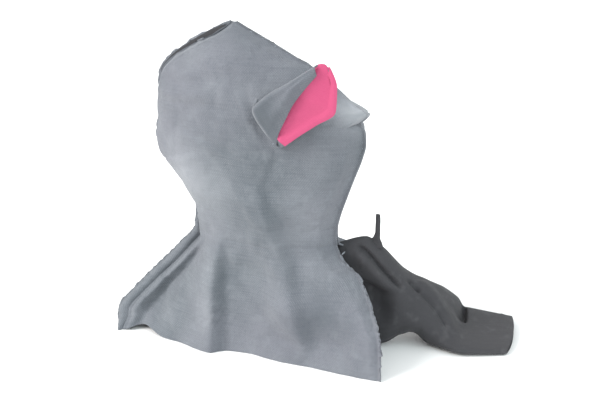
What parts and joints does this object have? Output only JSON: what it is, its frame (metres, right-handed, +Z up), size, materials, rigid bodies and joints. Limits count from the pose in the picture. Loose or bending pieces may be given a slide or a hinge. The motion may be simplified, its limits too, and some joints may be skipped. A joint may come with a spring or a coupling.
{
  "type": "sock puppet",
  "caption": "Cloth hand puppet of an animal head with a flared open skirt, lined ears, a hinged mouth and a black jersey sleeve.",
  "frame": {"origin": "centre of the open hem under the neck, on the surface the puppet stands on", "axes": "+X towards the snout, +Y away from the side with the raised ear, +Z up"},
  "size_m": [0.3457, 0.1827, 0.281],
  "materials": {
    "grey_woven_cloth": "plain woven linen-cotton, washed, matte",
    "pink_lining": "smooth fine cotton, matte",
    "black_jersey": "fine stretch jersey knit, soft sheen",
    "sewing_thread": "twisted polyester thread",
    "padding": "loose fibre filling",
    "stiffener": "pressed felt board",
    "elastic": "flat woven elastic"
  },
  "bodies": {
    "skirt": {"near_skirt_panel": "grey_woven_cloth", "far_skirt_panel": "grey_woven_cloth", "back_seam_stitches": "sewing_thread", "vent_bar_tack": "sewing_thread", "sleeve_root": "black_jersey"},
    "neck_band": {"near_neck_casing": "grey_woven_cloth", "far_neck_casing": "grey_woven_cloth", "neck_elastic": "elastic", "neck_seam_stitches": "sewing_thread", "near_neck_gusset": "grey_woven_cloth", "far_neck_gusset": "grey_woven_cloth"},
    "head": {"near_head_panel": "grey_woven_cloth", "far_head_panel": "grey_woven_cloth", "near_hand_lining": "black_jersey", "far_hand_lining": "black_jersey", "crown_padding": "padding", "upper_mouth_board": "stiffener", "upper_mouth_lining": "pink_lining", "mouth_corner_roll": "pink_lining", "head_seam_stitches": "sewing_thread", "near_throat_cloth": "grey_woven_cloth", "far_throat_cloth": "grey_woven_cloth"},
    "jaw": {"near_cheek": "grey_woven_cloth", "far_cheek": "grey_woven_cloth", "lower_mouth_board": "stiffener", "lower_mouth_lining": "pink_lining", "chin_seam_stitches": "sewing_thread"},
    "near_ear": {"near_ear_outer": "grey_woven_cloth", "near_ear_lining": "pink_lining", "near_ear_stitches": "sewing_thread"},
    "far_ear": {"far_ear_outer": "grey_woven_cloth", "far_ear_lining": "pink_lining", "far_ear_stitches": "sewing_thread"},
    "sleeve_upper": {"sleeve_upper": "black_jersey", "sleeve_tab": "black_jersey"},
    "sleeve_end": {"sleeve_lower": "black_jersey", "sleeve_cuff": "black_jersey"}
  },
  "joints": [
    {"name": "head_turn", "type": "hinge", "parent": "skirt", "child": "neck_band", "pos_m": [-0.0035, 0, 0.098], "axis": [0, 0, 1], "range_deg": [-25, 25]},
    {"name": "head_nod", "type": "hinge", "parent": "neck_band", "child": "head", "pos_m": [-0.0035, 0, 0.112], "axis": [0, 1, 0], "range_deg": [-14, 14], "deforming": ["near_neck_gusset", "far_neck_gusset"]},
    {"name": "jaw_open", "type": "hinge", "parent": "head", "child": "jaw", "pos_m": [0.046, 0, 0.205], "axis": [0, 1, 0], "range_deg": [0, 20], "deforming": ["near_throat_cloth", "far_throat_cloth"]},
    {"name": "near_ear_lift", "type": "hinge", "parent": "head", "child": "near_ear", "pos_m": [0.0195, -0.039, 0.2075], "axis": [0.4276, 0.0475, -0.9027], "range_deg": [0, 50]},
    {"name": "far_ear_lift", "type": "hinge", "parent": "head", "child": "far_ear", "pos_m": [0.0195, 0.0415, 0.2075], "axis": [0.9847, 0.0475, -0.1675], "range_deg": [0, 50]},
    {"name": "sleeve_swing", "type": "hinge", "parent": "skirt", "child": "sleeve_upper", "pos_m": [0.085, 0.0195, 0.054], "axis": [0, 0, 1], "range_deg": [-12, 12]},
    {"name": "sleeve_lift", "type": "hinge", "parent": "sleeve_upper", "child": "sleeve_end", "pos_m": [0.1566, 0.0761, 0.016], "axis": [0.1644, -0.9864, 0], "range_deg": [0, 35]}
  ]
}
